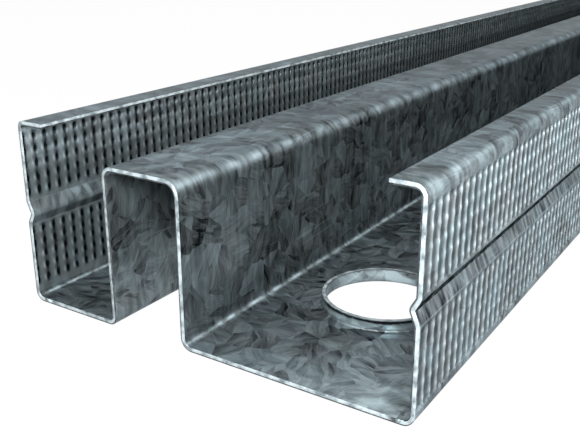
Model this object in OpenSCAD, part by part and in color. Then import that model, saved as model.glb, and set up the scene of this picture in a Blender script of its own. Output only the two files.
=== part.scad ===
// Drywall metal stud: one strip of galvanised steel, roll formed into two
// unequal channels on either side of a springy arch that keeps the two
// lined faces of the wall from passing sound to each other.
// X runs across the stud, Y along it and Z up out of the webs. The origin is
// at the middle of its length and width, on the underside of the webs.

/* [Stud] */
// Length that the stud is sold in
stud_len = 2400; // [600:100:4200]
// Depth of the stud, over the outer faces of its flanges
depth = 92; // [80:1:150]
// Thickness of the steel
sheet_t = 1.0; // [0.5:0.05:1.2]

/* [Flanges] */
// Height of the left flange, over its lip
left_flange_h = 40.8; // [38:0.1:60]
// Height of the right flange, over its lip
right_flange_h = 42.5; // [38:0.1:60]
// Reach of the left lip, from the outer face of its flange
left_lip = 6.9; // [5:0.1:12]
// Reach of the right lip, from the outer face of its flange
right_lip = 6.5; // [5:0.1:12]

/* [Flange grooves] */
// How far each V groove is pressed in towards the inside
groove_depth = 1.15; // [0.5:0.05:2]
// Height of the left groove's root above the underside
left_groove_z = 20.4; // [15:0.1:25]
// Rise of the left groove's upper slope
left_groove_up = 2.7; // [2:0.1:4]
// Drop of the left groove's lower slope
left_groove_down = 2.2; // [2:0.1:4]
// Height of the right groove's root above the underside
right_groove_z = 21.5; // [15:0.1:25]
// Rise of the right groove's upper slope
right_groove_up = 2.1; // [2:0.1:4]
// Drop of the right groove's lower slope
right_groove_down = 2.8; // [2:0.1:4]

/* [Arch] */
// Distance from the left flange's outer face to the arch
arch_x = 23.5; // [15:0.5:30]
// Width of the arch, over its two walls
arch_w = 19.4; // [12:0.1:24]
// Height of the arch, over its crown
arch_h = 34.7; // [20:0.1:38]

/* [Bends, inside radii] */
// Left lip to left flange
left_lip_bend = 0.5; // [0.3:0.1:2]
// Right lip to right flange
right_lip_bend = 1.3; // [0.3:0.1:2]
// The three folds of a V groove
groove_bend = 0.5; // [0.2:0.1:1]
// Left flange to narrow web
left_foot_bend = 1.2; // [0.5:0.1:3]
// Narrow web to arch
arch_left_foot_bend = 1.0; // [0.5:0.1:3]
// Arch wall to crown, left side
crown_left_bend = 1.4; // [0.5:0.1:4]
// Arch wall to crown, right side
crown_right_bend = 2.3; // [0.5:0.1:4]
// Arch to wide web
arch_right_foot_bend = 1.5; // [0.5:0.1:3]
// Wide web to right flange
right_foot_bend = 1.4; // [0.5:0.1:3]

/* [Service holes] */
// Radius of each hole inside its turned-up collar
bore_r = 12.7; // [8:0.1:16]
// Height of the collar's rim above the underside of the web
collar_h = 3.5; // [2.5:0.1:6]
// Inside radius of the bend from the web up into the collar
collar_bend = 0.4; // [0.2:0.1:1.5]
// Distance of the first hole from the near end
first_hole = 38.7; // [30:0.1:300]
// Distance from one hole to the next
hole_pitch = 600; // [200:50:1200]
// How far the holes lie from the middle of the wide web, towards its flange
hole_shift = 0; // [-3:0.1:3]

/* [Hidden] */
$fn = 64;

steel = [0.56, 0.60, 0.62];
half_t = sheet_t / 2;

// The sheet's middle line, seen from the near end, with x from the left
// flange's outer face: each fold is [x, z, inside bend radius].
left_x = half_t;
right_x = depth - half_t;
web_z = half_t;
arch_left_x = arch_x + half_t;
arch_right_x = arch_x + arch_w - half_t;
crown_z = arch_h - half_t;
left_lip_z = left_flange_h - half_t;
right_lip_z = right_flange_h - half_t;
folds = [
    [left_lip, left_lip_z, 0],
    [left_x, left_lip_z, left_lip_bend],
    [left_x, left_groove_z + left_groove_up, groove_bend],
    [left_x + groove_depth, left_groove_z, groove_bend],
    [left_x, left_groove_z - left_groove_down, groove_bend],
    [left_x, web_z, left_foot_bend],
    [arch_left_x, web_z, arch_left_foot_bend],
    [arch_left_x, crown_z, crown_left_bend],
    [arch_right_x, crown_z, crown_right_bend],
    [arch_right_x, web_z, arch_right_foot_bend],
    [right_x, web_z, right_foot_bend],
    [right_x, right_groove_z - right_groove_down, groove_bend],
    [right_x - groove_depth, right_groove_z, groove_bend],
    [right_x, right_groove_z + right_groove_up, groove_bend],
    [right_x, right_lip_z, right_lip_bend],
    [depth - right_lip, right_lip_z, 0]
];
last = len(folds) - 1;

// Flats that each slight fold of a groove is drawn with.
groove_steps = 4;

// Service holes: centred across the wide web, and repeated along the stud
// as long as the next one stays as far from the end as the first one.
web_mid_x = (arch_x + arch_w - sheet_t + depth) / 2;
hole_x = web_mid_x + hole_shift - depth / 2;
hole_count = 1 + floor((stud_len - 2 * first_hole) / hole_pitch);
bend_out = collar_bend + sheet_t;
collar_foot_r = bore_r + bend_out;
skirt = sheet_t;

// Where fold i lies, and the way the sheet runs from fold i to the next.
function place(i) = [folds[i][0], folds[i][1]];
function heading(i) =
    let (step = place(i + 1) - place(i)) atan2(step[1], step[0]);
function along(i) = [cos(heading(i)), sin(heading(i))];
function leftwards(i) = [-sin(heading(i)), cos(heading(i))];

// How far the sheet turns at fold i, and its sign: positive is to the left.
function turn(i) =
    let (swing = heading(i) - heading(i - 1))
    swing > 180 ? swing - 360 : swing < -180 ? swing + 360 : swing;
function side(i) = turn(i) > 0 ? 1 : -1;

// Length that the bend at fold i takes from each of its two straight runs.
function setback(i) =
    i == 0 || i == last ? 0 : (folds[i][2] + half_t) * tan(abs(turn(i)) / 2);

// Centre of the bend at fold i.
function centre(i) =
    place(i) - setback(i) * along(i - 1)
    + side(i) * (folds[i][2] + half_t) * leftwards(i - 1);

// The points of a slight fold's arc, on the sheet's left (1) or right (-1).
function arc(i, face) =
    let (
        r = folds[i][2] + half_t - face * side(i) * half_t,
        start = heading(i - 1) - side(i) * 90
    )
    [for (k = [0 : groove_steps])
        let (a = start + turn(i) * k / groove_steps)
        centre(i) + r * [cos(a), sin(a)]];

// One face of the sheet from the corner at fold a to the corner at fold b,
// round the slight folds that lie between them.
function face_line(a, b, face) = concat(
    [place(a) + setback(a) * along(a) + face * half_t * leftwards(a)],
    [for (i = [a + 1 : 1 : b - 1]) each arc(i, face)],
    [place(b) - setback(b) * along(b - 1) + face * half_t * leftwards(b - 1)]
);
function backwards(line) = [for (i = [len(line) - 1 : -1 : 0]) line[i]];

// The sheet between two corners: a flat strip, or a flange with its groove.
module strip(a, b) {
    polygon(concat(face_line(a, b, 1), backwards(face_line(a, b, -1))));
}

// The right-angled bend at fold i: a quarter of a ring, as thick as the sheet.
module bend(i) {
    inside_r = folds[i][2];
    outside_r = inside_r + sheet_t;
    translate(centre(i)) rotate(heading(i - 1) - (side(i) > 0 ? 90 : 0))
        difference() {
            intersection() {
                circle(outside_r);
                square(outside_r);
            }
            circle(inside_r);
        }
}

module section() {
    corners = [for (i = [1 : last - 1]) if (abs(turn(i)) > 89) i];
    stops = concat([0], corners, [last]);
    for (k = [1 : len(stops) - 1]) strip(stops[k - 1], stops[k]);
    for (i = corners) bend(i);
}

// The collar round one hole: the bore wall, the bend down into the web and
// a flat skirt that lies in the web's own thickness.
module collar() {
    rotate_extrude() {
        translate([bore_r, bend_out]) square([sheet_t, collar_h - bend_out]);
        translate([collar_foot_r, 0]) square([skirt, sheet_t]);
        translate([collar_foot_r, bend_out]) difference() {
            intersection() {
                circle(bend_out);
                translate([-bend_out, -bend_out]) square(bend_out);
            }
            circle(collar_bend);
        }
    }
}

module at_holes() {
    for (i = [0 : hole_count - 1])
        translate([hole_x, first_hole + i * hole_pitch - stud_len / 2, 0])
            children();
}

module stud() {
    color(steel) {
        difference() {
            translate([-depth / 2, stud_len / 2, 0]) rotate([90, 0, 0])
                linear_extrude(stud_len) section();
            at_holes() translate([0, 0, -sheet_t])
                cylinder(r = collar_foot_r, h = 3 * sheet_t);
        }
        at_holes() collar();
    }
}

stud();
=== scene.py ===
"""Looks of an acoustic drywall stud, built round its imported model.

The stud is one galvanised steel sheet, roll formed. Every surface here starts as
the sheet's middle line across the section, which is carried along the stud and
moved half a thickness to either side. On the flanges the sheet is also pressed
towards the inside into the knurl: upright ribs with a stud on every row.

All lengths are in metres. X runs across the stud, Y along it and Z up.
"""

from __future__ import annotations

import logging
import math
from dataclasses import dataclass, field
from enum import Enum, IntEnum

import bpy
import numpy as np
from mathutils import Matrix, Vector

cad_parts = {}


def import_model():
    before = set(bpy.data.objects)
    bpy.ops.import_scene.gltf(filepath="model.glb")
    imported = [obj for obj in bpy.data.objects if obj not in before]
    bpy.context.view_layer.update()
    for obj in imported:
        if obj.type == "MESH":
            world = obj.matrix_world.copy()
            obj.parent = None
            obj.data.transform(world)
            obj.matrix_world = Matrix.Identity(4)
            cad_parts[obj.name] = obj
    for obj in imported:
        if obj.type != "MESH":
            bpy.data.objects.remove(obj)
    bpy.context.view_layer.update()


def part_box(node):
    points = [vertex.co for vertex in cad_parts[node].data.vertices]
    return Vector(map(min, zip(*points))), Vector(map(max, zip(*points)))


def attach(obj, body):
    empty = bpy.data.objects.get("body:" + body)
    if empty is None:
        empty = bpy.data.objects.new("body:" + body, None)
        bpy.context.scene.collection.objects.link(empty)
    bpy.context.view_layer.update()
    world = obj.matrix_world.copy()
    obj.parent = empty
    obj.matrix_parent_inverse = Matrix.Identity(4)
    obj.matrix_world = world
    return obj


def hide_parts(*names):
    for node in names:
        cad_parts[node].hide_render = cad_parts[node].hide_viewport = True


log = logging.getLogger("stud")

MM = 0.001
NANOMETRE = 1e-9
BODY = "root"
NODE = "stud"


class Kind(IntEnum):
    """What a face belongs to. Faces of two kinds meet in a sharp edge."""

    INSIDE = 0
    OUTSIDE = 1
    CUT = 2
    # Dark corner of cut and slit edges and of the collars' rims: painted shade.
    BEVEL = 3
    # Painted shade on the right groove's upper slope, which faces down.
    GROOVE_SHADE = 4


class Side(Enum):
    """Which of the two flanges a piece belongs to."""

    LEFT = "left"
    RIGHT = "right"


def settled(*places: np.ndarray) -> np.ndarray:
    """Places in order, rounded to a nanometre and with no repeats."""
    return np.unique(np.round(np.concatenate(places), 9))


# --------------------------------------------------------------------------
# Sizes of the stud
# --------------------------------------------------------------------------


@dataclass(frozen=True)
class Groove:
    """A V pressed into a flange: its root's height and its two slopes."""

    root_z: float
    rise: float
    drop: float


@dataclass(frozen=True)
class SectionSizes:
    """Sizes of the folded sheet, the same as in the part's own source."""

    thickness: float = 1.0 * MM
    left_flange: float = 40.8 * MM
    right_flange: float = 42.5 * MM
    left_lip: float = 6.9 * MM
    right_lip: float = 6.5 * MM
    groove_depth: float = 1.15 * MM
    left_groove: Groove = Groove(20.4 * MM, 2.7 * MM, 2.2 * MM)
    right_groove: Groove = Groove(21.5 * MM, 2.1 * MM, 2.8 * MM)
    arch_x: float = 23.5 * MM
    arch_width: float = 19.4 * MM
    arch_height: float = 34.7 * MM
    left_lip_bend: float = 0.5 * MM
    right_lip_bend: float = 1.3 * MM
    groove_bend: float = 0.5 * MM
    left_foot_bend: float = 1.2 * MM
    arch_left_foot_bend: float = 1.0 * MM
    crown_left_bend: float = 1.4 * MM
    crown_right_bend: float = 2.3 * MM
    arch_right_foot_bend: float = 1.5 * MM
    right_foot_bend: float = 1.4 * MM

    def folds(self, depth: float) -> np.ndarray:
        """Corners of the middle line, from the left lip's tip to the right one's.

        Args:
            depth: the stud's depth over both flanges.

        Returns:
            One row for each fold: x from the middle, z, and inside bend radius.
        """
        half = self.thickness / 2
        left, right = half, depth - half
        arch_left = self.arch_x + half
        arch_right = self.arch_x + self.arch_width - half
        crown = self.arch_height - half
        left_top = self.left_flange - half
        right_top = self.right_flange - half
        bend, deep = self.groove_bend, self.groove_depth
        lg, rg = self.left_groove, self.right_groove
        rows = np.array([
            (self.left_lip, left_top, 0),
            (left, left_top, self.left_lip_bend),
            (left, lg.root_z + lg.rise, bend),
            (left + deep, lg.root_z, bend),
            (left, lg.root_z - lg.drop, bend),
            (left, half, self.left_foot_bend),
            (arch_left, half, self.arch_left_foot_bend),
            (arch_left, crown, self.crown_left_bend),
            (arch_right, crown, self.crown_right_bend),
            (arch_right, half, self.arch_right_foot_bend),
            (right, half, self.right_foot_bend),
            (right, rg.root_z - rg.drop, bend),
            (right - deep, rg.root_z, bend),
            (right, rg.root_z + rg.rise, bend),
            (right, right_top, self.right_lip_bend),
            (depth - self.right_lip, right_top, 0),
        ])
        rows[:, 0] -= depth / 2
        return rows


class Fold(IntEnum):
    """Names of the middle line's folds, in order from the left lip's tip."""

    LEFT_TIP = 0
    LEFT_LIP = 1
    LEFT_UPPER_KNEE = 2
    LEFT_ROOT = 3
    LEFT_LOWER_KNEE = 4
    LEFT_FOOT = 5
    ARCH_LEFT_FOOT = 6
    CROWN_LEFT = 7
    CROWN_RIGHT = 8
    ARCH_RIGHT_FOOT = 9
    RIGHT_FOOT = 10
    RIGHT_LOWER_KNEE = 11
    RIGHT_ROOT = 12
    RIGHT_UPPER_KNEE = 13
    RIGHT_LIP = 14
    RIGHT_TIP = 15


@dataclass(frozen=True)
class RollingAndShading:
    """Painted light along the bends and folds, and how the rollers have drawn the sheet.

    Above zero the painted light is a painted highlight, lighter and cooler, that
    stands in part for rubbing by the rollers; below zero it is painted shade, darker
    and duller. A draw pulls its zinc into streaks, with a value for each straight
    run from the left lip to the right one.
    """

    # The hollow and back values are painted highlights along each bend, standing in part for rubbing by the
    # rollers; the slope and lip values are painted shade.
    hollow_highlight: float = 1.0
    back_highlight: float = 0.55
    slight_bend_reach: float = 0.4
    full_bend_reach: float = 0.18
    full_bend: float = 1.2
    groove_slope_shade: float = -0.36
    lip_shade: float = -0.4
    bend_draw: float = 0.8
    bend_draw_fade: float = 3.0 * MM
    run_draw: tuple[float, ...] = (
        0.8, 0.3, 0.8, 0.8, 0.3, 0.1, 0.5, 0.2, 0.5, 0.1, 0.3, 1.6, 1.6, 0.3, 0.8)


class MiddleLine:
    """The sheet's middle line: straight runs joined by arcs of constant radius."""

    rolling_and_shading = RollingAndShading()
    guard_lines = np.array([1, 4, 12])
    guard_share: float = 0.9
    touch: float = 1000 * NANOMETRE

    def __init__(self, folds: np.ndarray, thickness: float) -> None:
        """Works out each run and arc.

        A fold that turns by an angle a with radius r takes r * tan(a / 2) from
        each run beside it, and its arc is r * a long.

        Args:
            folds: rows of x, z and inside bend radius.
            thickness: the sheet's thickness.
        """
        place = folds[:, :2]
        radius = folds[1:-1, 2] + thickness / 2
        step = np.diff(place, axis=0)
        heading = np.arctan2(step[:, 1], step[:, 0])
        turn = (np.diff(heading) + np.pi) % (2 * np.pi) - np.pi
        setback = np.zeros(len(folds))
        setback[1:-1] = radius * np.tan(np.abs(turn) / 2)
        run = np.hypot(step[:, 0], step[:, 1]) - setback[:-1] - setback[1:]
        way = np.stack([np.cos(heading), np.sin(heading)], axis=1)
        count = 2 * len(run) - 1
        length = np.empty(count)
        length[0::2], length[1::2] = run, radius * np.abs(turn)
        self.start = np.concatenate([[0], np.cumsum(length)])
        self.bend = np.zeros(count)
        self.bend[1::2] = np.sign(turn) / radius
        self.heading = np.empty(count)
        self.heading[0::2], self.heading[1::2] = heading, heading[:-1]
        self.origin = np.empty((count, 2))
        self.origin[0::2] = place[:-1] + setback[:-1, None] * way
        self.origin[1::2] = place[1:-1] - setback[1:-1, None] * way[:-1]

    def at(self, s: np.ndarray) -> tuple[np.ndarray, np.ndarray]:
        """Place and normal at a distance along the line.

        Along an arc of curvature k the heading grows as h + k * d, and the place
        is its integral; a straight run is the same with k = 0.

        Args:
            s: distances from the left lip's tip.

        Returns:
            Places and inward normals, each with columns x and z.
        """
        part = self.part(s)
        d, k, h = s - self.start[part], self.bend[part], self.heading[part]
        now = h + k * d
        safe = np.where(k == 0, 1.0, k)
        dx = np.where(k == 0, d * np.cos(h), (np.sin(now) - np.sin(h)) / safe)
        dz = np.where(k == 0, d * np.sin(h), (np.cos(h) - np.cos(now)) / safe)
        place = self.origin[part] + np.stack([dx, dz], axis=-1)
        return place, np.stack([-np.sin(now), np.cos(now)], axis=-1)

    def part(self, s: np.ndarray) -> np.ndarray:
        """Number of the run or arc that holds each distance along the line."""
        return np.clip(np.searchsorted(self.start, s, side="right") - 1, 0, len(self.bend) - 1)

    def spot(self, s: float) -> tuple[float, float]:
        """Place at one distance along the line, as x and z."""
        x, z = self.at(np.array([s]))[0][0]
        return float(x), float(z)

    def worked_and_shaded(self, s: np.ndarray, face: int) -> tuple[np.ndarray, np.ndarray]:
        """Painted light and the rollers' draw at a distance along the line.

        Each bend gets a painted highlight, a bell curve about its middle, highest in
        its hollow, that stands in part for rubbing by the rollers. Its draw dies away
        over the flats beside it. The outside of the right groove's lower slope and the
        inside of both lips, under them, get painted shade, darker and duller.

        Args:
            s: distances from the left lip's tip.
            face: 1 for the inside and -1 for the outside.

        Returns:
            The painted light, highlight above zero and shade below it, and the draw.
        """
        rolling_and_shading = self.rolling_and_shading
        low, high, turn = self.start[1:-1:2], self.start[2::2], self.bend[1::2]
        swing = np.abs(turn) * (high - low)
        level = np.where(turn * face < 0, rolling_and_shading.back_highlight, rolling_and_shading.hollow_highlight) * np.clip(swing, 0, 1)
        share = np.where(swing > rolling_and_shading.full_bend, rolling_and_shading.full_bend_reach, rolling_and_shading.slight_bend_reach)
        from_middle = (s[:, None] - (low + high) / 2) / (share * (high - low))
        # Painted highlight: a bell curve about each bend.
        rub_and_painted_light = (np.exp(-(from_middle ** 2)) * level).max(1)
        if face < 0:
            slope = self.after(Fold.RIGHT_LOWER_KNEE) - self.touch, self.after(Fold.RIGHT_ROOT) + self.touch
            # Painted shade on the outside of the right groove's lower slope.
            rub_and_painted_light = np.where((s >= slope[0]) & (s <= slope[1]), rolling_and_shading.groove_slope_shade, rub_and_painted_light)
        else:
            lips = (s < self.after(Fold.LEFT_LIP)) | (s > self.before(Fold.RIGHT_LIP))
            # Painted shade on the inside of both lips, under them.
            rub_and_painted_light = np.where(lips, rolling_and_shading.lip_shade, rub_and_painted_light)
        off = np.maximum(np.maximum(low - s[:, None], s[:, None] - high), 0)
        near = rolling_and_shading.bend_draw * np.exp(-off / rolling_and_shading.bend_draw_fade).max(1)
        run = (self.part(s) + 1) // 2
        return rub_and_painted_light, np.maximum(near, np.array(rolling_and_shading.run_draw)[run])

    def in_groove_shade(self, s: np.ndarray) -> np.ndarray:
        """Where the outside gets painted shade: the right groove's upper slope, which faces down."""
        return (s > self.before(Fold.RIGHT_ROOT)) & (s < self.after(Fold.RIGHT_UPPER_KNEE))

    def before(self, fold: int) -> float:
        """Distance along the line at which a fold's bend begins."""
        return float(self.start[2 * fold - 1])

    def after(self, fold: int) -> float:
        """Distance along the line at which a fold's bend ends."""
        return float(self.start[2 * fold])

    def through(self, s: np.ndarray, fold: int) -> np.ndarray:
        """How far each distance is through a fold's bend: 0 before it and 1 after it."""
        low, high = self.before(fold), self.after(fold)
        return np.clip((s - low) / (high - low), 0, 1)

    def stations(self, first: float, last: float, step: float, guard: float) -> np.ndarray:
        """Distances at which a smooth stretch of sheet gets a line of points.

        Args:
            first: where the stretch begins.
            last: where the stretch ends.
            step: the largest turn between two lines, in radians.
            guard: distance from a bend to the line that keeps the flat beside it flat.

        Returns:
            Sorted distances from first to last.
        """
        turns = np.abs(self.bend) * np.diff(self.start)
        firm, loose = [np.array([first, last])], []
        for part in np.flatnonzero(turns > 0):
            low, high = self.start[part], self.start[part + 1]
            count = max(2, math.ceil(turns[part] / step))
            firm.append(np.linspace(low, high, count + 1))
            aside = guard * self.guard_lines
            loose += [low - aside, high + aside]
        kept = np.concatenate(firm)
        spare = np.unique(np.concatenate(loose))
        clear = np.abs(spare[:, None] - kept).min(1) > guard * self.guard_share
        every = settled(kept, spare[clear])
        return every[(every >= first - NANOMETRE) & (every <= last + NANOMETRE)]


# --------------------------------------------------------------------------
# Meshes
# --------------------------------------------------------------------------


class Shell:
    """Collects patches of points and faces, then welds them into one mesh."""

    weld: float = 0.0005 * MM
    slot_of_kind = np.array([0, 0, 1, 2, 3])

    def __init__(self) -> None:
        """Starts with nothing."""
        self.points: list[np.ndarray] = []
        self.marks: list[np.ndarray] = []
        self.uvs: list[np.ndarray] = []
        self.faces: list[np.ndarray] = []
        self.kinds: list[np.ndarray] = []
        self.count = 0

    def add_points(self, points: np.ndarray, uvs: np.ndarray, marks: np.ndarray) -> np.ndarray:
        """Adds a block of points.

        Args:
            points: places, with the last axis x, y, z.
            uvs: places on the flat sheet, with the last axis along it and across it.
            marks: tool marks and painted shading there, with the last axis knurl, painted light, draw and
                band.

        Returns:
            The points' numbers, in the block's own shape.
        """
        shape = points.shape[:-1]
        numbers = self.count + np.arange(int(np.prod(shape))).reshape(shape)
        self.points.append(points.reshape(-1, 3))
        self.uvs.append(np.broadcast_to(uvs, (*shape, 2)).reshape(-1, 2))
        self.marks.append(np.broadcast_to(marks, (*shape, 4)).reshape(-1, 4))
        self.count += numbers.size
        return numbers

    def add_faces(self, corners: np.ndarray, kind: int | np.ndarray, flip: bool = False) -> None:
        """Adds faces of three or four corners each.

        Args:
            corners: point numbers, one row for each face.
            kind: what the faces belong to, one for all or one for each.
            flip: whether the faces are to look the other way.
        """
        rows = corners.reshape(-1, corners.shape[-1])
        if flip:
            rows = rows[:, ::-1]
        if rows.shape[1] == 3:
            rows = np.concatenate([rows, np.full((len(rows), 1), -1)], axis=1)
        self.faces.append(rows)
        self.kinds.append(np.broadcast_to(kind, len(rows)))

    def mesh(self, name: str) -> bpy.types.Mesh:
        """Welds what was added into one mesh with smooth faces and sharp borders.

        Args:
            name: the mesh's name.

        Returns:
            The finished mesh, its flat places in the UV map.
        """
        points, uvs = np.concatenate(self.points), np.concatenate(self.uvs)
        faces, kinds = np.concatenate(self.faces), np.concatenate(self.kinds)
        _, kept, number = np.unique(
            np.round(points / self.weld).astype(np.int64), axis=0,
            return_index=True, return_inverse=True)
        number = number.reshape(-1)
        used = faces >= 0
        starts = np.concatenate([[0], np.cumsum(used.sum(1))[:-1]])
        corners = faces[used]
        mesh = bpy.data.meshes.new(name)
        mesh.vertices.add(len(kept))
        mesh.vertices.foreach_set("co", points[kept].astype(np.float32).ravel())
        mesh.loops.add(len(corners))
        mesh.loops.foreach_set("vertex_index", number[corners].astype(np.int32))
        mesh.polygons.add(len(faces))
        mesh.polygons.foreach_set("loop_start", starts.astype(np.int32))
        mesh.polygons.foreach_set("material_index", self.slot_of_kind[kinds].astype(np.int32))
        mesh.update(calc_edges=True)
        marks = np.concatenate(self.marks)[kept].astype(np.float32)
        # This attribute holds the knurl's painted shading, the painted light and the draw.
        tooling_and_shading = mesh.attributes.new("tooling_and_shading", "FLOAT_VECTOR", "POINT")
        tooling_and_shading.data.foreach_set("vector", marks[:, :3].ravel())
        band = mesh.attributes.new("knurled", "FLOAT", "POINT")
        band.data.foreach_set("value", np.ascontiguousarray(marks[:, 3]))
        flat = mesh.uv_layers.new(name="sheet")
        flat.data.foreach_set("uv", uvs[corners].astype(np.float32).ravel())
        edge = np.empty(len(corners), np.int32)
        mesh.loops.foreach_get("edge_index", edge)
        kind_at = np.repeat(kinds, used.sum(1))
        low = np.full(len(mesh.edges), len(Kind))
        high = np.full(len(mesh.edges), -1)
        np.minimum.at(low, edge, kind_at)
        np.maximum.at(high, edge, kind_at)
        mesh.attributes.new("sharp_edge", "BOOLEAN", "EDGE").data.foreach_set("value", low != high)
        mesh.validate()
        return mesh


def between(places: np.ndarray) -> np.ndarray:
    """The middle of every gap between sorted places."""
    return (places[1:] + places[:-1]) / 2


def quads(grid: np.ndarray) -> np.ndarray:
    """Corner numbers of every cell of a grid of points.

    Args:
        grid: point numbers, rows across the sheet and columns along the stud.

    Returns:
        Cells by rows and columns, four corners each, that look to the inside.
    """
    return np.stack([grid[:-1, :-1], grid[1:, :-1], grid[1:, 1:], grid[:-1, 1:]], axis=-1)


def zip_lines(low: np.ndarray, low_y: np.ndarray, high: np.ndarray, high_y: np.ndarray) -> np.ndarray:
    """Triangles between two lines of points that are spaced differently.

    Each stretch of the denser line is tied to the nearest point of the other
    one, and each stretch of the other line to the point where the ties change.

    Args:
        low: point numbers of the line that comes first across the sheet.
        low_y: their places along the stud.
        high: point numbers of the line that comes next.
        high_y: their places along the stud.

    Returns:
        Rows of three corners that look to the inside.
    """
    swap = len(low) < len(high)
    dense, dense_y, thin, thin_y = (high, high_y, low, low_y) if swap else (low, low_y, high, high_y)
    tie = np.searchsorted(between(thin_y), between(dense_y))
    change = np.searchsorted(tie, np.arange(len(thin) - 1), side="right")
    fans = np.stack([dense[:-1], thin[tie], dense[1:]], axis=1)
    fills = np.stack([dense[change], thin[:-1], thin[1:]], axis=1)
    if swap:
        fans = np.stack([thin[tie], dense[:-1], dense[1:]], axis=1)
        fills = np.stack([thin[:-1], dense[change], thin[1:]], axis=1)
    return np.concatenate([fans, fills])


# --------------------------------------------------------------------------
# The knurl
# --------------------------------------------------------------------------


def bell(x: np.ndarray) -> np.ndarray:
    """A bell curve: 1 at zero, and e ** -0.5 at 1 to either side."""
    return np.exp(-0.5 * x ** 2)


def ease(x: np.ndarray) -> np.ndarray:
    """A step from 0 to 1 with level ends: 3 x ** 2 - 2 x ** 3."""
    x = np.clip(x, 0, 1)
    return x * x * (3 - 2 * x)


@dataclass(frozen=True)
class RowBand:
    """One band of knurl rows: the lowest row's height, their pitch and number."""

    first: float
    pitch: float
    rows: int = 5

    def reach(self) -> tuple[float, float]:
        """Lowest and highest height that the band's ribs come to."""
        return self.first - self.pitch / 2, self.first + (self.rows - 0.5) * self.pitch

    def heights(self) -> np.ndarray:
        """Height of each row."""
        return self.first + self.pitch * np.arange(self.rows)


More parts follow.
